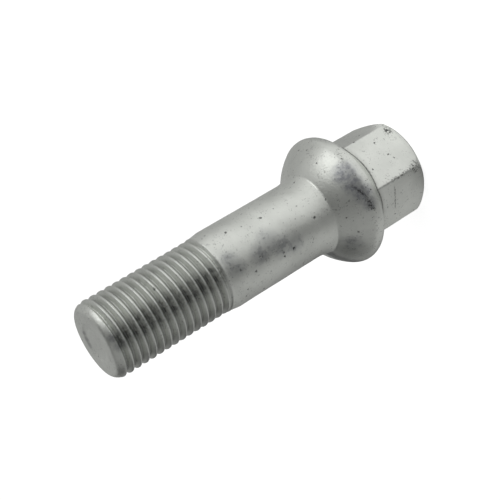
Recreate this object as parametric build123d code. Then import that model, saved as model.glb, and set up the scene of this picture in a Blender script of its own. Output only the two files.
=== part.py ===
from build123d import *
import math
import os

# Wheel bolt with a ball collar, all sizes in millimetres. One piece of cold-formed steel.
# It stands on its head: the end face of the hexagon lies on z = 0, the axis is +Z and the
# threaded tip points up.

# Wrench hexagon
HEX_ACROSS_FLATS = 17.0
HEX_HEIGHT = 10.85  # end face to where the collar starts on the flats
HEX_CORNER_ROUND = 0.5  # the six long edges
HEAD_FACE_DIAMETER = 16.4  # flat end face inside the crown
HEAD_CROWN_HEIGHT = 2.5  # how far the crown cuts down the six corners
HEAD_CROWN_BULGE = 0.4  # rise of the crown's arc over a plain chamfer
HEAD_DISH_DIAMETER = 9.6  # shallow dish in the end face
HEAD_DISH_DEPTH = 0.8

# Collar: back cone, round rim, and the ball that centres the wheel
COLLAR_DIAMETER = 24.8
COLLAR_BACK_ANGLE = 40.0  # back cone, from the end face
RIM_ROUND = 2.2
BALL_RADIUS = 14.0
NECK_FILLET = 1.5  # between the ball and the shank

# Shank, and the shoulder that drops to the thread
OVERALL_LENGTH = 66.9
SHANK_DIAMETER = 14.6
SHOULDER_LENGTH = 2.2
SHOULDER_ROUND = 4.0

# Threaded length, plain at the major diameter
THREAD_DIAMETER = 14.0
THREAD_LENGTH = 23.0  # from the tip to the foot of the shoulder

# Tip
TIP_FACE_DIAMETER = 12.0
TIP_CHAMFER_LENGTH = 1.6
TIP_DISH_DIAMETER = 7.0
TIP_DISH_DEPTH = 0.25

hex_inner_radius = HEX_ACROSS_FLATS / 2
collar_radius = COLLAR_DIAMETER / 2
shank_radius = SHANK_DIAMETER / 2
thread_radius = THREAD_DIAMETER / 2
tip_face_radius = TIP_FACE_DIAMETER / 2
tip_dish_radius = TIP_DISH_DIAMETER / 2

thread_foot = OVERALL_LENGTH - THREAD_LENGTH
shank_top = thread_foot - SHOULDER_LENGTH
tip_dish_floor = OVERALL_LENGTH - TIP_DISH_DEPTH

# Centres of the tangent arcs in the axial section, as (radius, height)
back_angle = math.radians(COLLAR_BACK_ANGLE)
rim_start = (RIM_ROUND * math.sin(back_angle), -RIM_ROUND * math.cos(back_angle))
rim_axis_radius = collar_radius - RIM_ROUND
back_cone_width = rim_axis_radius + rim_start[0] - hex_inner_radius
rim_height = HEX_HEIGHT + back_cone_width * math.tan(back_angle) - rim_start[1]
ball_height = rim_height - math.sqrt((BALL_RADIUS - RIM_ROUND) ** 2 - rim_axis_radius**2)
fillet_axis_radius = shank_radius + NECK_FILLET
fillet_height = ball_height + math.sqrt((BALL_RADIUS + NECK_FILLET) ** 2 - fillet_axis_radius**2)


def turned(section):
    """A solid of revolution from a face drawn as (radius, height)."""
    return revolve(Plane.XZ * section, Axis.Z).solid()


def arc_about(centre, radius, first, last):
    """An arc of the axial section, by its centre and its two angles in degrees."""
    return CenterArc(centre, radius, first, last - first)


def collar_and_shank():
    """Collar, neck fillet, shank, shoulder, threaded length and tip, turned in one go."""
    rim_to_ball = math.degrees(math.atan2(rim_height - ball_height, rim_axis_radius))
    ball_to_neck = math.degrees(math.atan2(fillet_height - ball_height, fillet_axis_radius))
    rim = arc_about((rim_axis_radius, rim_height), RIM_ROUND, COLLAR_BACK_ANGLE - 90, rim_to_ball)
    ball = arc_about((0, ball_height), BALL_RADIUS, rim_to_ball, ball_to_neck)
    neck = arc_about((fillet_axis_radius, fillet_height), NECK_FILLET, 180 + ball_to_neck, 180)
    cone_foot_height = rim_height + rim_start[1] - (rim_axis_radius + rim_start[0]) * math.tan(back_angle)
    outline = [
        Line((0, cone_foot_height), rim @ 0),
        rim,
        ball,
        neck,
        Polyline(
            neck @ 1,
            (shank_radius, shank_top),
            (thread_radius, thread_foot),
            (thread_radius, OVERALL_LENGTH - TIP_CHAMFER_LENGTH),
            (tip_face_radius, OVERALL_LENGTH),
            (tip_dish_radius, OVERALL_LENGTH),
            (tip_dish_radius - TIP_DISH_DEPTH, tip_dish_floor),
            (0, tip_dish_floor),
            (0, cone_foot_height),
        ),
    ]
    section = make_face(outline)
    corner = section.vertices().sort_by_distance((shank_radius, shank_top))[0]
    return turned(fillet(corner, SHOULDER_ROUND))


def head_envelope():
    """The crowned, round-ended shape that the hexagon is trimmed to."""
    face_edge = Vector(HEAD_FACE_DIAMETER / 2, 0)
    corner = Vector(hex_inner_radius / math.cos(math.radians(30)), HEAD_CROWN_HEIGHT)
    outward = (corner - face_edge).rotate(Axis.Z, -90).normalized()
    bulge = (face_edge + corner) / 2 + outward * HEAD_CROWN_BULGE
    outline = [
        Line((0, 0), face_edge),
        ThreePointArc(face_edge, bulge, corner),
        Polyline(corner, (corner.X, rim_height), (0, rim_height), (0, 0)),
    ]
    return turned(make_face(outline))


def hexagon():
    """Wrench hexagon with rounded edges, a crowned end and a dish in the end face."""
    flats = RegularPolygon(hex_inner_radius, 6, major_radius=False)
    flats = fillet(flats.vertices(), HEX_CORNER_ROUND)
    prism = extrude(flats, rim_height)
    dish_radius = HEAD_DISH_DIAMETER / 2
    dish = Polyline(
        (0, 0),
        (dish_radius, 0),
        (dish_radius - HEAD_DISH_DEPTH, HEAD_DISH_DEPTH),
        (0, HEAD_DISH_DEPTH),
        close=True,
    )
    return ((prism & head_envelope()) - turned(make_face(dish))).solid()


def wheel_bolt():
    return collar_and_shank().fuse(hexagon()).solid()


os.makedirs("parts", exist_ok=True)
bolt = wheel_bolt()
bolt.label = "wheel_bolt"
export_step(bolt, "parts/wheel_bolt.step")
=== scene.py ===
import functools
import math

import bpy
import numpy as np
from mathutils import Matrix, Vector, noise


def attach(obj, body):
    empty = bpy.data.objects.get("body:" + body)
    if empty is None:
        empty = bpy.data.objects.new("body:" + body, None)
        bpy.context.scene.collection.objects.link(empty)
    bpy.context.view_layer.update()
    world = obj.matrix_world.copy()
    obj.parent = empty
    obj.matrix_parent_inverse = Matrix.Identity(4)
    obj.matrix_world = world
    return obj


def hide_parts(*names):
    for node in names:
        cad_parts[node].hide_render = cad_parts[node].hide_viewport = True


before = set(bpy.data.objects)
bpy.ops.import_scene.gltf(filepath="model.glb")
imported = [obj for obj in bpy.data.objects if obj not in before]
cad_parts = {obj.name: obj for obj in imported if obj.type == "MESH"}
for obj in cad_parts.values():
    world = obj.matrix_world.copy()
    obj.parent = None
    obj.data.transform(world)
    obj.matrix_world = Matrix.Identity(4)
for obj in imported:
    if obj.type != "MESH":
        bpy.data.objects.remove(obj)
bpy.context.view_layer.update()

MM = 0.001

# Sizes of the bolt in millimetres, those of the solid apart from the neck's flare and the tip
HEX_INNER_RADIUS = 8.5
HEX_HEIGHT = 10.85
HEX_CORNER_ROUND = 0.5
HEAD_FACE_RADIUS = 8.2
HEAD_CROWN_HEIGHT = 2.5
HEAD_CROWN_BULGE = 0.4
HEAD_DISH_RADIUS = 4.8
HEAD_DISH_DEPTH = 0.8
COLLAR_RADIUS = 12.4
COLLAR_BACK_ANGLE = math.radians(40.0)
RIM_ROUND = 2.2
BALL_RADIUS = 14.0
NECK_FILLET = 1.5
NECK_FLARE = 0.45  # what the neck adds to the shank where it meets the ball
NECK_REACH = 2.2  # how far the flare runs on along the shank after the fillet's end
NECK_FIRST_ROW = 0.02  # share of the neck; close to the ball, so that an edge stays there
OVERALL_LENGTH = 66.9
SHANK_RADIUS = 7.3
SHOULDER_LENGTH = 2.2
THREAD_RADIUS = 7.0
THREAD_LENGTH = 23.0

# Tip: a nose that is fuller than a chamfer, and a soft dish with irregular rings
TIP_FACE_RADIUS = 6.15
TIP_CHAMFER_LENGTH = 1.6
NOSE_FULLNESS = 1.6  # 1 would be a straight chamfer
TIP_EDGE_LENGTH = 0.5  # end of the thread to the end face
TIP_FACE_ROWS = (5.6, 5.2, 4.6)  # radii
TIP_DISH_RADIUS = 3.5
TIP_DISH_DEPTH = 0.2
TIP_DISH_SLOPE = (2.8, 3.85)  # radii of the floor's end and of the edge
TIP_DISH_ROWS = np.linspace(4.1, 0.4, 26)  # radii
TIP_DISH_SINK = 0.02  # how far the whole dish lies below the face
TIP_DISH_LOBES = [(0.35, 1, 0.9), (0.2, 2, 2.1)]  # share of the depth, number round the axis, phase
SWIRL_HEIGHT = 0.03
SWIRL_RATE = 5.5  # radians for each millimetre of radius
SWIRL_SHIFT = 1.3  # how far the rings lie off the middle, in radians
SWIRL_SHIFT_PHASE = 0.7
SWIRL_CHANGE = 0.45  # how much the rings weaken towards one side
SWIRL_CHANGE_PHASE = 2.4
SWIRL_INNER_FADE = (0.4, 1.2)
SWIRL_OUTER_FADE = (2.6, 4.0)

# Rolled right-hand thread
PITCH = 1.5
THREAD_DEPTH = 0.8
CREST_WIDTH = 0.3
ROOT_WIDTH = 0.26
FLANK_SOFTNESS = 0.1
RUN_OUT = 0.9
NOSE_LOSS = 0.8  # share of the depth that is lost over the nose
LIP_HEIGHT = 0.07  # raised by the rolling where the thread starts
LIP_WIDTH = 0.2
ROWS_PER_PITCH = 22

# Soft edges: how far each bend reaches from its corner
DISH_FLOOR_BEND = 0.3
DISH_EDGE_BEND = 0.2
FACE_EDGE_BEND = 0.25
CROWN_EDGE_BEND = 0.22
COLLAR_FOOT_BEND = 0.3
SHOULDER_BEND = 0.27
TIP_EDGE_BEND = 0.46

# Radii of the rows on the floor of the head's dish
DISH_CENTRE_ROW = 0.6
DISH_MIDDLE_ROW = 2.0

# How dark the coat is painted along two edges of the flats, row by row of their bends: wear along the
# crown's edge, and painted shade in the hollow at the collar's foot
CROWN_EDGE_CREASE = [0.1, 0.4, 0.5, 0.4, 0.1]
COLLAR_FOOT_SHADE = [0.2, 0.9, 1.0, 0.9, 0.2]

# Dents as x, y, z, reach and depth, and fine unevenness as height and waves for each millimetre
DENTS = [
    (-4.95, -8.5, 2.1, 1.1, 0.16), (3.8, -8.6, 1.9, 1.0, 0.12), (-6.7, -10.3, 15.9, 1.2, 0.1),
    (-4.9, -11.2, 16.0, 1.0, 0.06),
]
UNEVENNESS = [(0.03, 0.3), (0.012, 1.1)]
THREAD_UNEVENNESS = [(0.03, 2.3)]

# Spots on the coat as x, y, z and radius in millimetres
PITS = [
    (2.75, -8.5, 5.9, 0.22), (-0.33, -8.5, 5.2, 0.24), (-1.35, -8.5, 4.7, 0.2), (8.2, -7.7, 17.4, 0.3),
    (4.7, -9.25, 18.5, 0.26), (2.3, -12.0, 15.9, 0.2), (-8.75, -5.6, 18.5, 0.28), (-5.9, -7.2, 19.6, 0.2),
    (-2.75, -6.7, 24.3, 0.34), (0.45, -7.25, 26.0, 0.18), (2.0, -7.0, 32.8, 0.32),
    (2.45, -6.85, 36.6, 0.22), (2.95, -6.65, 39.5, 0.3), (-5.1, -5.2, 30.3, 0.36),
    (-5.4, -4.9, 32.5, 0.26), (-3.55, -6.35, 37.0, 0.26), (-3.8, -6.2, 41.3, 0.28),
    (-6.95, -1.9, 41.4, 0.26), (-6.5, -3.3, 41.0, 0.24), (-5.1, -5.2, 38.7, 0.3),
    (0.8, -6.95, 55.9, 0.42), (1.85, -6.75, 56.4, 0.3),
]
# Smudges; the three at x -7.4, -8.9 and -10.3 are painted shade at the bottom of the ball
SMUDGES_AND_SHADE = [
    (-1.7, -7.0, 42.3, 2.2), (-3.1, -6.6, 41.7, 2.3), (-2.2, -7.0, 34.3, 3.2), (-4.0, -6.1, 32.2, 3.0),
    (-4.6, -5.7, 29.8, 2.6), (-3.2, -6.6, 36.7, 2.8), (-9.2, -2.8, 19.0, 2.6), (-7.4, 3.3, 20.6, 2.2),
    (-8.9, 3.6, 19.3, 2.6), (-10.3, 4.3, 17.7, 2.4), (2.1, 2.6, 66.8, 0.9), (1.1, 3.1, 66.8, 0.8),
    (3.0, 1.7, 66.8, 0.7), (-2.4, -6.2, 65.8, 1.3), (-3.9, -5.7, 65.4, 1.5),
]
WORN = [
    (-0.2, -11.5, 17.0, 3.0), (-2.4, -11.2, 16.9, 2.6), (-4.6, -10.9, 16.3, 2.5),
    (-6.6, -10.2, 16.0, 1.8),
]
CHIPS = [
    (-4.5, -11.0, 16.4, 0.6), (-6.0, -10.5, 16.0, 0.8), (-7.0, -9.9, 15.9, 0.9),
    (-4.95, -8.4, 2.2, 1.6), (3.6, -8.5, 1.9, 1.1),
]
SPOT_CORE = 0.3  # share of a spot's radius with its full strength
SMUDGE_AND_SHADE_CORE = 0.2

# Streaks on the coat as start and end; their widths are the distances with full strength and with none
CRACKS = [
    ((-2.7, -11.2, 17.2), (-5.0, -11.0, 16.3)), ((-5.0, -11.0, 16.3), (-6.3, -10.5, 16.1)),
    ((-6.0, -10.6, 16.1), (-7.8, -9.6, 15.6)), ((-6.6, -10.0, 16.3), (-7.4, -9.7, 16.0)),
]
CRACK_WIDTH = (0.1, 0.42)
# Painted shade: a dark streak along the bottom of the ball, from the neck towards the rim
PAINTED_SHADE_STREAKS = [((-7.3, 3.2, 20.8), (-10.4, 4.4, 17.6)), ((-10.4, 4.4, 17.6), (-11.4, 4.6, 15.4))]
PAINTED_SHADE_WIDTH = (0.3, 2.0)
# Painted shade: a darker band along one side of the thread
THREAD_SHADE_BAND = [((-3.2, -6.2, 65.6), (-2.4, -6.6, 44.0))]
THREAD_SHADE_BAND_WIDTH = (0.6, 3.0)

# Other marks, with full strength at the first value and none at the second
CHIPPED_EDGE = (-4.87, -8.43)  # x and y of the long edge of the hexagon with broken coat
CHIPPED_EDGE_WIDTH = (0.15, 0.6)
CHIPPED_EDGE_HEIGHT = (2.0, 12.5)
SCRATCH = (-6.9, -5.1, 7.65)  # middle of a scratch across a flat
SCRATCH_WIDTH = (0.03, 0.14)
SCRATCH_LENGTH = (1.8, 2.8)
RIM_WEAR_RADIUS = (12.2, 11.4)
THREAD_START_FADE = (0.3, -0.1)  # from the thread's foot
THREAD_STOP_FADE = (-0.4, 0.2)  # from the start of the nose

# Noise in the coat as scale, detail and roughness
BLOTCH_NOISE = (170.0, 5.0, 0.6)
MOTTLE_NOISE = (620.0, 5.0, 0.65)
SHADE_BREAKUP_NOISE = (1100.0, 4.0, 0.6)
WEAR_NOISE = (1300.0, 4.0, 0.6)
RAGGED_NOISE = (2100.0, 3.0, 0.6)
GRAIN_NOISE = (2600.0, 6.0, 0.7)
FRECKLE_NOISE = (3000.0, 2.0, 0.6)
FRAY_NOISE = (3600.0, 4.0, 0.6)
FRAY_REACH = 0.8  # how far the fraying moves the edges of marks, from end to end
DUST_SCALE = 820.0

# Colours of the coat, its marks and its painted shade, and its surface
COAT_DARK = (0.69, 0.708, 0.667, 1)
COAT_LIGHT = (0.79, 0.81, 0.764, 1)
BLOTCH_RANGE = (0.34, 0.62)
# Colour of the smudges and of the painted shade at the bottom of the ball
SMUDGE_AND_SHADE_COLOUR = (0.3, 0.31, 0.32, 1)
WORN_COLOUR = (0.3, 0.31, 0.34, 1)
# Colour of the painted shade in the thread
THREAD_SHADE_COLOUR = (0.2, 0.205, 0.195, 1)
# Colour of pits, freckles, chips, cracks and the scratch, and of the painted shade at the ball's bottom
# and the collar's foot
PIT_AND_SHADE_COLOUR = (0.035, 0.035, 0.035, 1)
# Strength of the painted shade along the bottom of the ball
PAINTED_SHADE_STRENGTH = 0.45
FRECKLE_STRENGTH = 0.35
DUST_STRENGTH = 0.85
MARK_STRENGTH = 0.85
ROOT_POWER = 6.0  # keeps the painted shade to the roots of the thread
METALLIC = 0.88
ROUGHNESS_RANGE = (0.3, 0.5)
MARK_ROUGHNESS = 0.3
MOTTLE_RELIEF = 0.8
MARK_RELIEF = -1.2
RELIEF_STRENGTH = 0.3
RELIEF_HEIGHT = 0.1

# Brightness of the set that the bolt mirrors, as degrees from +X and levels
NEAR_FLOOR_LEVELS = [
    (-180, 0.5), (-166, 0.5), (-148, 0.32), (-126, 0.25), (-108, 0.86), (-90, 0.96), (-60, 0.96),
    (-41, 0.86), (-22, 0.4), (9, 0.4), (40, 0.42), (58, 0.25), (74, 0.06), (112, 0.04), (140, 0.28),
    (166, 0.5), (180, 0.5),
]
FAR_FLOOR_LEVELS = [
    (-180, 0.52), (-166, 0.52), (-148, 0.22), (-126, 0.18), (-106, 0.55), (-86, 0.85), (-66, 1.0),
    (-41, 1.0), (-21, 0.75), (9, 0.45), (36, 0.45), (62, 0.48), (84, 0.35), (112, 0.3), (140, 0.4),
    (168, 0.52), (180, 0.52),
]
LOW_SKY_LEVELS = [
    (-180, 0.352), (-166, 0.352), (-146, 0.256), (-126, 0.128), (-105, 0.16), (-85, 0.4), (-65, 0.68),
    (-40, 0.68), (-10, 0.44), (20, 0.4), (50, 0.4), (74, 0.424), (92, 0.4), (106, 0.16), (118, 0.04),
    (136, 0.048), (156, 0.336), (180, 0.352),
]
HIGH_SKY_LEVELS = [
    (-180, 0.36), (-150, 0.28), (-126, 0.12), (-105, 0.16), (-80, 0.2), (-50, 0.24), (-26, 0.24),
    (-5, 0.4), (20, 0.64), (44, 0.68), (64, 0.4), (90, 0.16), (110, 0.28), (150, 0.4), (180, 0.36),
]
ZENITH_LEVEL = 0.08
NEAR_FLOOR_REACH = (46.0, 60.0)  # millimetres from the axis, all near levels and all far levels
HIGH_SKY_START = (0.75, 0.5)  # upward part of the direction, all high levels and all low levels
ZENITH_START = (0.99, 0.85)

# Floor and lamp in metres and watts
FLOOR_HALF_SIZE = 6.0
FLOOR_PAINT = (0.85, 0.85, 0.85, 1)
FLOOR_GLOW = 0.8  # with the lit paint it makes the floor white for the camera
KEY_DIRECTION = (0.747, -0.665, 0.6)
KEY_DISTANCE = 0.5
KEY_SIZE = 0.35
KEY_POWER = 0.4

# Camera
CAMERA_PLACE = (-44.019, -158.014, 113.788)  # millimetres
CAMERA_TURN = (-46.882, 50.478, -159.746)  # degrees
CAMERA_LENS = 75.405
CAMERA_SENSOR = 36.0
CAMERA_CLIP_START = 0.01  # metres

thread_foot = OVERALL_LENGTH - THREAD_LENGTH
thread_end = OVERALL_LENGTH - TIP_EDGE_LENGTH
nose_start = OVERALL_LENGTH - TIP_CHAMFER_LENGTH
shank_top = thread_foot - SHOULDER_LENGTH
rim_axis = COLLAR_RADIUS - RIM_ROUND
rim_start = (rim_axis + RIM_ROUND * math.sin(COLLAR_BACK_ANGLE), -RIM_ROUND * math.cos(COLLAR_BACK_ANGLE))
rim_height = HEX_HEIGHT + (rim_start[0] - HEX_INNER_RADIUS) * math.tan(COLLAR_BACK_ANGLE) - rim_start[1]
ball_height = rim_height - math.sqrt((BALL_RADIUS - RIM_ROUND) ** 2 - rim_axis**2)
neck_axis = SHANK_RADIUS + NECK_FILLET
neck_height = ball_height + math.sqrt((BALL_RADIUS + NECK_FILLET) ** 2 - neck_axis**2)

# Directions round the axis, close together at the six corners of the hexagon
half_flat = math.radians(30.0)
corner_spread = math.radians(3.0)
at_corner = np.linspace(0, corner_spread, 7)
half_sector = np.concatenate([at_corner, np.linspace(corner_spread, half_flat, 11)[1:]])
sector = np.concatenate([half_sector[:-1], 2 * half_flat - half_sector[:0:-1]])
theta = np.concatenate([sector + 2 * half_flat * k for k in range(6)])


def smoothstep(x, low, high):
    t = np.clip((x - low) / (high - low), 0, 1)
    return t * t * (3 - 2 * t)


def soft_ramp(x, softness):
    """Clamp to 0..1 with both bends rounded."""
    low = 0.5 * (x + np.sqrt(x * x + softness**2))
    high = 1 - low
    return 1 - 0.5 * (high + np.sqrt(high * high + softness**2))


def hexagon_radius(angle):
    """Distance from the axis to the side of the hexagon, with its rounded long edges."""
    off_corner = np.abs((angle + half_flat) % (2 * half_flat) - half_flat)
    flat = HEX_INNER_RADIUS / np.cos(half_flat - off_corner)
    centre = (HEX_INNER_RADIUS - HEX_CORNER_ROUND) / math.cos(half_flat)
    inside = np.maximum(HEX_CORNER_ROUND**2 - (centre * np.sin(off_corner)) ** 2, 0)
    corner = centre * np.cos(off_corner) + np.sqrt(inside)
    tangent = half_flat - math.atan((1 - HEX_CORNER_ROUND / HEX_INNER_RADIUS) * math.tan(half_flat))
    return np.where(off_corner < tangent, corner, flat)


def crown_height(radius):
    """Height of the crowned end over the floor, out from the edge of the end face."""
    start = np.array([HEAD_FACE_RADIUS, 0.0])
    end = np.array([HEX_INNER_RADIUS / math.cos(half_flat), HEAD_CROWN_HEIGHT])
    chord = end - start
    length = np.linalg.norm(chord)
    bow = (length**2 / 4 + HEAD_CROWN_BULGE**2) / (2 * HEAD_CROWN_BULGE)
    outward = np.array([chord[1], -chord[0]]) / length
    centre = (start + end) / 2 - outward * (bow - HEAD_CROWN_BULGE)
    return centre[1] - np.sqrt(bow**2 - (radius - centre[0]) ** 2)


def around(value):
    return np.broadcast_to(np.asarray(value, float), theta.shape)


def point(radius, height):
    """A row of the surface: one point of the axial section for every direction."""
    return np.stack([around(radius), around(height)])


def arc(centre, radius, first, last, steps):
    return [
        point(centre[0] + radius * math.cos(a), centre[1] + radius * math.sin(a))
        for a in np.linspace(first, last, steps)
    ]


def line(start, end, steps):
    """Rows between two points, without the two points."""
    return [start + (end - start) * t for t in np.linspace(0, 1, steps + 2)[1:-1]]


def rounded(before, corner, after, reach, steps=5):
    """Rows of a soft bend that leaves the corner by reach along both sides."""
    first, last = before - corner, after - corner
    first = corner + first * (reach / np.maximum(np.linalg.norm(first, axis=0), 1e-9))
    last = corner + last * (reach / np.maximum(np.linalg.norm(last, axis=0), 1e-9))
    return [
        first * (1 - t) ** 2 + corner * (2 * t * (1 - t)) + last * t**2 for t in np.linspace(0, 1, steps)
    ]


def head_rows():
    """From the dish in the end face over the crown and the flats to the end of the back cone.

    The second list says how dark the coat is along each row: wear at the crown's edge and painted shade
    at the collar's foot.
    """
    side = hexagon_radius(theta)
    centre = point(DISH_CENTRE_ROW, HEAD_DISH_DEPTH)
    dish_floor = point(HEAD_DISH_RADIUS - HEAD_DISH_DEPTH, HEAD_DISH_DEPTH)
    dish_edge = point(HEAD_DISH_RADIUS, 0)
    face_edge = point(HEAD_FACE_RADIUS, 0)
    crown = []
    for t in np.linspace(0, 1, 8):
        radius = HEAD_FACE_RADIUS + (side - HEAD_FACE_RADIUS) * t
        crown.append(np.stack([radius, crown_height(radius)]))
    cone_height = HEX_HEIGHT + (side - HEX_INNER_RADIUS) * math.tan(COLLAR_BACK_ANGLE)
    cone_foot = np.stack([side, cone_height])
    cone_end = point(rim_start[0], rim_height + rim_start[1])

    rows = [centre, point(DISH_MIDDLE_ROW, HEAD_DISH_DEPTH)]
    rows += rounded(centre, dish_floor, dish_edge, DISH_FLOOR_BEND)
    rows += rounded(dish_floor, dish_edge, face_edge, DISH_EDGE_BEND)
    rows += line(dish_edge, face_edge, steps=1)
    rows += rounded(dish_edge, face_edge, crown[1], FACE_EDGE_BEND)
    rows += crown[2:-1]
    crease = [0.0] * len(rows)

    crown_bend = rounded(crown[-2], crown[-1], cone_foot, CROWN_EDGE_BEND, len(CROWN_EDGE_CREASE))
    foot_bend = rounded(crown[-1], cone_foot, cone_end, COLLAR_FOOT_BEND, len(COLLAR_FOOT_SHADE))
    flats = line(crown_bend[-1], foot_bend[0], steps=12)
    cone = line(foot_bend[-1], cone_end, steps=4)
    rows += crown_bend + flats + foot_bend + cone
    crease += CROWN_EDGE_CREASE + [0.0] * len(flats) + COLLAR_FOOT_SHADE + [0.0] * len(cone)
    return rows, crease


def collar_rows():
    """Rim, ball, neck, shank and shoulder."""
    rim_to_ball = math.atan2(rim_height - ball_height, rim_axis)
    ball_end = math.acos((SHANK_RADIUS + NECK_FLARE) / BALL_RADIUS)
    rows = arc((rim_axis, rim_height), RIM_ROUND, COLLAR_BACK_ANGLE - math.pi / 2, rim_to_ball, steps=11)
    rows += arc((0, ball_height), BALL_RADIUS, rim_to_ball, ball_end, steps=18)[1:]

    neck_foot = ball_height + BALL_RADIUS * math.sin(ball_end)
    neck_length = neck_height + NECK_REACH - neck_foot
    for t in np.linspace(NECK_FIRST_ROW, 1, 14):
        rows.append(point(SHANK_RADIUS + NECK_FLARE * (1 - t) ** 2, neck_foot + neck_length * t))

    corner = point(SHANK_RADIUS, shank_top)
    foot = point(THREAD_RADIUS, thread_foot)
    shoulder = rounded(rows[-1], corner, foot, SHOULDER_BEND, steps=7)
    rows += line(rows[-1], shoulder[0], steps=36) + shoulder
    rows += line(shoulder[-1], foot, steps=14)
    return rows


def thread_rows():
    """Rows of the threaded length, and how deep each lies below the crests."""
    rows, depths = [], []
    flank = PITCH / 2 - CREST_WIDTH / 2 - ROOT_WIDTH / 2
    count = int((thread_end - thread_foot) / PITCH * ROWS_PER_PITCH)
    for height in np.linspace(thread_foot, thread_end, count):
        turns = (height - thread_foot) / PITCH - theta / (2 * math.pi)
        from_crest = np.abs(turns - np.round(turns)) * PITCH
        depth = soft_ramp((from_crest - CREST_WIDTH / 2) / flank, FLANK_SOFTNESS)
        depth = depth * smoothstep(height, thread_foot, thread_foot + RUN_OUT)
        depth = depth * (1 - NOSE_LOSS * smoothstep(height, nose_start, thread_end))
        into_nose = max(1 - (OVERALL_LENGTH - height) / TIP_CHAMFER_LENGTH, 0)
        nose = THREAD_RADIUS - (THREAD_RADIUS - TIP_FACE_RADIUS) * into_nose**NOSE_FULLNESS
        rows.append(point(np.minimum(THREAD_RADIUS - THREAD_DEPTH * depth, nose), height))
        depths.append(depth)
    return rows, depths


def swirl(radius):
    """Depth of the irregular rings in the dish of the tip."""
    rings = np.sin(radius * SWIRL_RATE + SWIRL_SHIFT * np.sin(theta + SWIRL_SHIFT_PHASE))
    strength = 1 - SWIRL_CHANGE + SWIRL_CHANGE * np.sin(theta + SWIRL_CHANGE_PHASE)
    fades = (1 - smoothstep(radius, *SWIRL_OUTER_FADE)) * smoothstep(radius, *SWIRL_INNER_FADE)
    return SWIRL_HEIGHT * rings * strength * fades


def tip_rows(start):
    """From the end of the thread over the rounded edge of the end face into its uneven dish."""
    edge = point(TIP_FACE_RADIUS, OVERALL_LENGTH)
    dish_edge = point(TIP_DISH_RADIUS, OVERALL_LENGTH)
    rows = rounded(start, edge, dish_edge, TIP_EDGE_BEND, steps=8)
    rows += [point(radius, OVERALL_LENGTH) for radius in TIP_FACE_ROWS]
    lobes = sum(share * np.sin(number * theta + phase) for share, number, phase in TIP_DISH_LOBES)
    for radius in TIP_DISH_ROWS:
        inside = 1 - smoothstep(radius, *TIP_DISH_SLOPE)
        uneven = 1 + lobes * (radius / TIP_DISH_RADIUS) ** 2
        depth = TIP_DISH_DEPTH * inside * uneven + swirl(radius) + TIP_DISH_SINK
        rows.append(point(radius, OVERALL_LENGTH - depth))
    return rows


def unevenness(place):
    """Height of the fine unevenness at one place; the thread is rougher."""
    waves = UNEVENNESS + THREAD_UNEVENNESS if place.z > thread_foot else UNEVENNESS
    return sum(height * noise.noise(place * scale) for height, scale in waves)


def surface_points(rows):
    """Grid of places from the rows, with the lip, the dents and the fine unevenness."""
    radius, height = np.stack(rows, axis=1)
    radius = radius + LIP_HEIGHT * np.exp(-(((height - thread_foot) / LIP_WIDTH) ** 2))
    grid = np.stack([radius * np.cos(theta), radius * np.sin(theta), height], axis=-1)
    outward = grid * (1, 1, 0) / radius[..., None]
    for *place, reach, depth in DENTS:
        away = np.linalg.norm(grid - np.array(place), axis=-1)
        grid -= outward * (depth * np.clip(1 - (away / reach) ** 2, 0, 1) ** 2)[..., None]
    uneven = [unevenness(Vector(place)) for place in grid.reshape(-1, 3)]
    return grid + outward * np.reshape(uneven, radius.shape)[..., None]


def closed_faces(row_count, ring):
    """Quads between the rows, and a fan round each of the two poles that come after them."""
    lower = np.arange((row_count - 1) * ring).reshape(row_count - 1, ring)
    following = np.roll(lower, -1, axis=1)
    quads = np.stack([lower, following, following + ring, lower + ring], axis=-1).reshape(-1, 4)
    head_pole = row_count * ring
    last_row = head_pole - ring
    pairs = [(k, (k + 1) % ring) for k in range(ring)]
    fans = [[head_pole, after, k] for k, after in pairs]
    fans += [[head_pole + 1, last_row + k, last_row + after] for k, after in pairs]
    return quads.tolist() + fans


def bolt_mesh():
    """Surface of the bolt, with the depth of the thread, and the wear and painted shade along the
    creases, as attributes.
    """
    head, head_crease = head_rows()
    collar = collar_rows()
    thread, thread_depths = thread_rows()
    tip = tip_rows(thread[-1])
    groove = [around(0.0)] * len(head + collar) + thread_depths + [around(0.0)] * len(tip)
    crease = [around(dark) for dark in head_crease] + [around(0.0)] * len(collar + thread + tip)

    grid = surface_points(head + collar + thread + tip)
    poles = [[0, 0, HEAD_DISH_DEPTH], [0, 0, tip[-1][1].mean()]]
    verts = np.concatenate([grid.reshape(-1, 3), poles]) * MM
    mesh = bpy.data.meshes.new("wheel_bolt_dressed")
    mesh.from_pydata(verts.tolist(), [], closed_faces(*grid.shape[:2]))
    for name, values in (("groove", groove), ("crease", crease)):
        layer = mesh.attributes.new(name, "FLOAT", "POINT")
        at_points = np.append(np.ravel(values), [0] * len(poles))
        layer.data.foreach_set("value", at_points.astype(np.float32))
    mesh.polygons.foreach_set("use_smooth", np.ones(len(mesh.polygons), bool))
    mesh.update()
    return mesh


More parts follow.
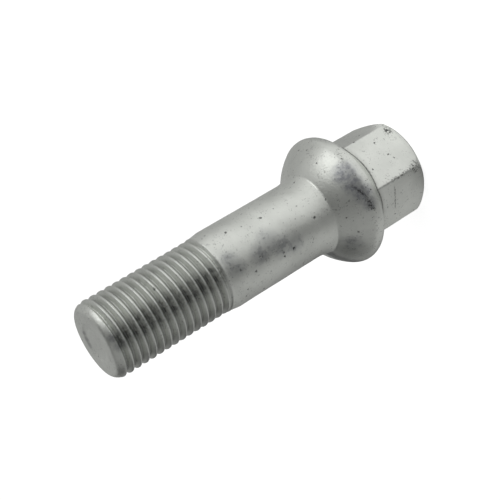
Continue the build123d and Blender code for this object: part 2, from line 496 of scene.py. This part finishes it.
class Nodes:
    """Adds nodes to one tree; a value is a number, a vector, a colour or another node's output."""

    def __init__(self, tree):
        self.tree = tree

    def add(self, kind, inputs=(), **settings):
        made = self.tree.nodes.new(kind)
        for name, value in settings.items():
            setattr(made, name, value)
        for name, value in dict(inputs).items():
            if isinstance(value, bpy.types.NodeSocket):
                self.tree.links.new(value, made.inputs[name])
            else:
                made.inputs[name].default_value = value
        return made

    def calc(self, operation, *values):
        return self.add("ShaderNodeMath", dict(enumerate(values)), operation=operation).outputs[0]

    def times(self, first, second):
        return self.calc("MULTIPLY", first, second)

    def between(self, share, least, most):
        """From least where the share is 0 to most where it is 1."""
        return self.calc("MULTIPLY_ADD", share, most - least, least)

    def strongest(self, masks):
        return functools.reduce(lambda first, second: self.calc("MAXIMUM", first, second), masks)

    def vector(self, operation, *values, output="Vector"):
        made = self.add("ShaderNodeVectorMath", dict(enumerate(values)), operation=operation)
        return made.outputs[output]

    def measure(self, operation, *values):
        return self.vector(operation, *values, output="Value")

    def parts(self, vector):
        return self.add("ShaderNodeSeparateXYZ", {"Vector": vector}).outputs

    def fade(self, value, full, none):
        """A mask that is 1 where the value is at full or beyond, and falls softly to 0 at none."""
        ends = (1.0, 0.0) if full < none else (0.0, 1.0)
        ramp = {
            "Value": value,
            "From Min": min(full, none),
            "From Max": max(full, none),
            "To Min": ends[0],
            "To Max": ends[1],
        }
        return self.add("ShaderNodeMapRange", ramp, interpolation_type="SMOOTHSTEP").outputs["Result"]

    def fade_mm(self, value, full, none):
        return self.fade(value, full * MM, none * MM)

    def blend(self, factor, first, second):
        """Mix of two colours, by the mix node's colour sockets 6 and 7 and its colour output 2."""
        return self.add("ShaderNodeMix", {0: factor, 6: first, 7: second}, data_type="RGBA").outputs[2]

    def level_around(self, direction, stops):
        """Grey level by compass direction, from stops of degrees and levels."""
        parts = self.parts(direction)
        angle = self.calc("ARCTAN2", parts["Y"], parts["X"])
        turn = self.calc("MULTIPLY_ADD", angle, 1 / (2 * math.pi), 0.5)
        ramp = self.add("ShaderNodeValToRGB", {"Fac": turn})
        elements = ramp.color_ramp.elements
        while len(elements) < len(stops):
            elements.new(0.5)
        for element, (degrees, level) in zip(elements, stops):
            element.position = degrees / 360 + 0.5
            element.color = (level, level, level, 1)
        return ramp.outputs["Color"]


class Coat(Nodes):
    """Nodes of the coat: noise, and masks of the marks at their places on the bolt."""

    def __init__(self, tree):
        super().__init__(tree)
        self.place = self.add("ShaderNodeTexCoord").outputs["Object"]
        wobble = self.vector("SUBTRACT", self.cloud(*FRAY_NOISE, output="Color"), (0.5, 0.5, 0.5))
        self.frayed = self.vector("MULTIPLY_ADD", wobble, (FRAY_REACH * MM,) * 3, self.place)
        self.across = self.vector("MULTIPLY", self.frayed, (1, 1, 0))
        self.height = self.parts(self.frayed)["Z"]
        self.mottle = self.cloud(*MOTTLE_NOISE)
        self.grain = self.cloud(*GRAIN_NOISE)
        self.patchy = self.fade(self.mottle, full=0.56, none=0.44)
        self.ragged = self.fade(self.cloud(*RAGGED_NOISE), full=0.58, none=0.48)
        start = self.fade_mm(self.height, *(thread_foot + shift for shift in THREAD_START_FADE))
        stop = self.fade_mm(self.height, *(nose_start + shift for shift in THREAD_STOP_FADE))
        self.rolled = self.times(start, stop)

    def cloud(self, scale, detail, roughness, output="Fac"):
        inputs = {"Vector": self.place, "Scale": scale, "Detail": detail, "Roughness": roughness}
        return self.add("ShaderNodeTexNoise", inputs).outputs[output]

    def attribute(self, name):
        return self.add("ShaderNodeAttribute", attribute_name=name).outputs["Fac"]

    def spot(self, place, full, none):
        away = self.measure("DISTANCE", self.frayed, [c * MM for c in place])
        return self.fade_mm(away, full, none)

    def spots(self, places, core=SPOT_CORE):
        return self.strongest([self.spot(place, core * size, size) for *place, size in places])

    def streak(self, start, end, full, none):
        """Mask round the line between two places."""
        first = Vector(start) * MM
        along = Vector(end) * MM - first
        offset = self.vector("SUBTRACT", self.frayed, first)
        share = {"Value": self.measure("DOT_PRODUCT", offset, along), "From Max": along.length_squared}
        share = self.add("ShaderNodeMapRange", share).outputs["Result"]
        foot = self.add("ShaderNodeVectorMath", {0: along, "Scale": share}, operation="SCALE")
        away = self.measure("DISTANCE", offset, foot.outputs["Vector"])
        return self.fade_mm(away, full, none)

    def streaks(self, ends, width):
        return self.strongest([self.streak(start, end, *width) for start, end in ends])

    def blotches(self):
        """Colour of the sound coat."""
        ramp = self.add("ShaderNodeValToRGB", {"Fac": self.cloud(*BLOTCH_NOISE)})
        stops = zip(ramp.color_ramp.elements, BLOTCH_RANGE, (COAT_DARK, COAT_LIGHT))
        for element, position, colour in stops:
            element.position = position
            element.color = colour
        return ramp.outputs["Color"]

    def smudges_and_shade(self):
        # Smudges, and painted shade at the bottom of the ball
        spots = self.spots(SMUDGES_AND_SHADE, core=SMUDGE_AND_SHADE_CORE)
        return self.times(spots, self.between(self.patchy, least=0.35, most=0.7))

    def worn(self):
        thin = self.fade(self.cloud(*WEAR_NOISE), full=0.6, none=0.4)
        return self.times(self.spots(WORN), self.between(thin, least=0.5, most=0.85))

    def painted_shade(self):
        # Painted shade: a dark streak along the bottom of the ball
        return self.times(self.streaks(PAINTED_SHADE_STREAKS, PAINTED_SHADE_WIDTH), PAINTED_SHADE_STRENGTH)

    def thread_shade(self):
        """Painted shade: dark roots of the thread, a slight darkening of all of the thread, and a darker
        broken band along one side of it.
        """
        groove = self.attribute("groove")
        breakup = self.fade(self.cloud(*SHADE_BREAKUP_NOISE), full=0.56, none=0.42)
        shade_band = self.streaks(THREAD_SHADE_BAND, THREAD_SHADE_BAND_WIDTH)
        shade_band = self.times(shade_band, self.between(groove, least=0.3, most=0.65))
        shade_band = self.times(shade_band, self.between(breakup, least=0.35, most=1.25))
        roots = self.between(self.calc("POWER", groove, ROOT_POWER), least=0.14, most=0.69)
        return self.times(self.rolled, self.calc("ADD", shade_band, roots))

    def freckles(self):
        """Fine dark points, more of them on the worn rim of the collar."""
        rim = self.fade_mm(self.measure("LENGTH", self.across), *RIM_WEAR_RADIUS)
        rim = self.times(rim, self.patchy)
        crowded = self.strongest([self.fade(self.mottle, full=0.57, none=0.48), rim])
        points = self.fade(self.cloud(*FRECKLE_NOISE), full=0.35, none=0.43)
        freckles = self.times(self.times(points, crowded), self.between(rim, least=1.0, most=1.5))
        return self.times(freckles, FRECKLE_STRENGTH)

    def pits(self):
        """The larger pits, and small ones strewn over all but the thread."""
        cells = self.add("ShaderNodeTexVoronoi", {"Vector": self.frayed, "Scale": DUST_SCALE}).outputs
        chance = self.add("ShaderNodeSeparateColor", {"Color": cells["Color"]}).outputs["Red"]
        size = self.between(chance, least=-0.42, most=0.18)
        dust = self.fade(self.calc("SUBTRACT", cells["Distance"], size), full=-0.05, none=0.03)
        dust = self.times(dust, self.calc("SUBTRACT", DUST_STRENGTH, self.rolled))
        return self.strongest([self.spots(PITS), dust])

    def chips(self):
        """Broken coat, in spots and along one long edge of the hexagon."""
        edge_place = [c * MM for c in (*CHIPPED_EDGE, 0)]
        edge = self.fade_mm(self.measure("DISTANCE", self.across, edge_place), *CHIPPED_EDGE_WIDTH)
        edge = self.times(edge, self.fade_mm(self.height, *CHIPPED_EDGE_HEIGHT))
        return self.times(self.strongest([self.spots(CHIPS), edge]), self.ragged)

    def cracks(self):
        cracks = self.streaks(CRACKS, CRACK_WIDTH)
        return self.times(cracks, self.between(self.ragged, least=0.4, most=1.0))

    def creases(self):
        # Wear along the crown's edge, and painted shade in the hollow at the collar's foot
        return self.times(self.attribute("crease"), self.between(self.ragged, least=0.7, most=0.95))

    def scratch(self):
        off_line = self.calc("ABSOLUTE", self.calc("SUBTRACT", self.height, SCRATCH[2] * MM))
        scratch = self.times(self.fade_mm(off_line, *SCRATCH_WIDTH), self.spot(SCRATCH, *SCRATCH_LENGTH))
        return self.times(scratch, self.between(self.ragged, least=0.45, most=0.95))


def zinc_flake():
    """Matte silver zinc-flake coat with blotches, pits, scuffs and bare worn spots, and painted shade in
    the thread, at the bottom of the ball and at the collar's foot.
    """
    material = bpy.data.materials.new("zinc_flake_steel")
    material.use_nodes = True
    tree = material.node_tree
    coat = Coat(tree)
    # Pits, chips, cracks, a scratch, and the wear and painted shade along the creases
    marks = coat.strongest([coat.pits(), coat.chips(), coat.cracks(), coat.creases(), coat.scratch()])
    layers = [
        # smudges, and painted shade at the bottom of the ball
        (coat.smudges_and_shade(), SMUDGE_AND_SHADE_COLOUR),
        (coat.worn(), WORN_COLOUR),
        # painted shade along the bottom of the ball
        (coat.painted_shade(), PIT_AND_SHADE_COLOUR),
        # painted shade in the roots and along one side of the thread
        (coat.thread_shade(), THREAD_SHADE_COLOUR),
        (coat.freckles(), PIT_AND_SHADE_COLOUR),
        (coat.times(marks, MARK_STRENGTH), PIT_AND_SHADE_COLOUR),
    ]
    colour = coat.blotches()
    for mask, mark_colour in layers:
        colour = coat.blend(mask, colour, mark_colour)
    rough = coat.calc("MULTIPLY_ADD", marks, MARK_ROUGHNESS, coat.between(coat.grain, *ROUGHNESS_RANGE))
    relief = coat.calc("MULTIPLY_ADD", coat.mottle, MOTTLE_RELIEF, coat.grain)
    relief = coat.calc("MULTIPLY_ADD", marks, MARK_RELIEF, relief)
    bump = {"Height": relief, "Strength": RELIEF_STRENGTH, "Distance": RELIEF_HEIGHT * MM}

    shader = tree.nodes["Principled BSDF"]
    shader.inputs["Metallic"].default_value = METALLIC
    tree.links.new(colour, shader.inputs["Base Color"])
    tree.links.new(rough, shader.inputs["Roughness"])
    tree.links.new(coat.add("ShaderNodeBump", bump).outputs["Normal"], shader.inputs["Normal"])
    return material


def floor_white():
    """White for the camera, and lighter and darker by direction where the bolt mirrors it."""
    material = bpy.data.materials.new("floor_white")
    material.use_nodes = True
    material.node_tree.nodes.clear()
    nodes = Nodes(material.node_tree)
    path = nodes.add("ShaderNodeLightPath").outputs
    seen = nodes.times(path["Is Camera Ray"], FLOOR_GLOW)
    seen = nodes.calc("ADD", seen, path["Is Transmission Ray"])
    glow = nodes.add("ShaderNodeEmission", {"Strength": seen})
    paint = nodes.add("ShaderNodeBsdfDiffuse", {"Color": FLOOR_PAINT})
    lit = nodes.add("ShaderNodeAddShader", {0: glow.outputs[0], 1: paint.outputs[0]})

    place = nodes.add("ShaderNodeNewGeometry").outputs["Position"]
    near = nodes.level_around(place, NEAR_FLOOR_LEVELS)
    far = nodes.level_around(place, FAR_FLOOR_LEVELS)
    nearness = nodes.fade_mm(nodes.measure("LENGTH", place), *NEAR_FLOOR_REACH)
    mirrored = nodes.add("ShaderNodeEmission", {"Strength": nodes.blend(nearness, far, near)})
    surfaces = {0: path["Is Glossy Ray"], 1: lit.outputs[0], 2: mirrored.outputs[0]}
    either = nodes.add("ShaderNodeMixShader", surfaces)
    nodes.add("ShaderNodeOutputMaterial", {"Surface": either.outputs[0]})
    return material


def white_floor():
    half = FLOOR_HALF_SIZE
    mesh = bpy.data.meshes.new("floor")
    corners = [(-half, -half, 0), (half, -half, 0), (half, half, 0), (-half, half, 0)]
    mesh.from_pydata(corners, [], [(0, 1, 2, 3)])
    floor = bpy.data.objects.new("floor", mesh)
    bpy.context.scene.collection.objects.link(floor)
    mesh.materials.append(floor_white())


def studio_world():
    """White for the camera, and lighter and darker by direction for the bolt."""
    world = bpy.data.worlds.new("studio")
    bpy.context.scene.world = world
    world.use_nodes = True
    world.node_tree.nodes.clear()
    nodes = Nodes(world.node_tree)
    path = nodes.add("ShaderNodeLightPath").outputs
    direction = nodes.add("ShaderNodeTexCoord").outputs["Generated"]
    up = nodes.parts(direction)["Z"]
    low = nodes.level_around(direction, LOW_SKY_LEVELS)
    high = nodes.level_around(direction, HIGH_SKY_LEVELS)
    zenith = (ZENITH_LEVEL, ZENITH_LEVEL, ZENITH_LEVEL, 1)
    level = nodes.blend(nodes.fade(up, *HIGH_SKY_START), low, high)
    level = nodes.blend(nodes.fade(up, *ZENITH_START), level, zenith)
    seen = nodes.calc("MAXIMUM", path["Is Camera Ray"], path["Is Transmission Ray"])
    unseen = nodes.calc("SUBTRACT", 1.0, seen)
    strength = nodes.calc("MULTIPLY_ADD", level, unseen, seen)
    sky = nodes.add("ShaderNodeBackground", {"Color": (1, 1, 1, 1), "Strength": strength})
    nodes.add("ShaderNodeOutputWorld", {"Surface": sky.outputs[0]})


def key_lamp():
    """A round lamp that faces the middle of the bolt."""
    lamp = bpy.data.lights.new("key", "AREA")
    lamp.shape = "DISK"
    lamp.size = KEY_SIZE
    lamp.energy = KEY_POWER
    holder = bpy.data.objects.new("key", lamp)
    bpy.context.scene.collection.objects.link(holder)
    direction = Vector(KEY_DIRECTION).normalized()
    target = Vector((0, 0, OVERALL_LENGTH / 2 * MM))
    holder.location = target + direction * KEY_DISTANCE
    holder.rotation_euler = (-direction).to_track_quat("-Z", "Y").to_euler()


def photo_camera():
    data = bpy.data.cameras.new("camera")
    data.sensor_width = CAMERA_SENSOR
    data.lens = CAMERA_LENS
    data.clip_start = CAMERA_CLIP_START
    camera = bpy.data.objects.new("camera", data)
    bpy.context.scene.collection.objects.link(camera)
    camera.location = Vector(CAMERA_PLACE) * MM
    camera.rotation_euler = [math.radians(angle) for angle in CAMERA_TURN]
    bpy.context.scene.camera = camera


bolt = bpy.data.objects.new("wheel_bolt_dressed", bolt_mesh())
bpy.context.scene.collection.objects.link(bolt)
bolt.data.materials.append(zinc_flake())
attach(bolt, "root")
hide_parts("wheel_bolt")

white_floor()
studio_world()
key_lamp()
photo_camera()
bpy.context.scene.view_settings.view_transform = "Standard"
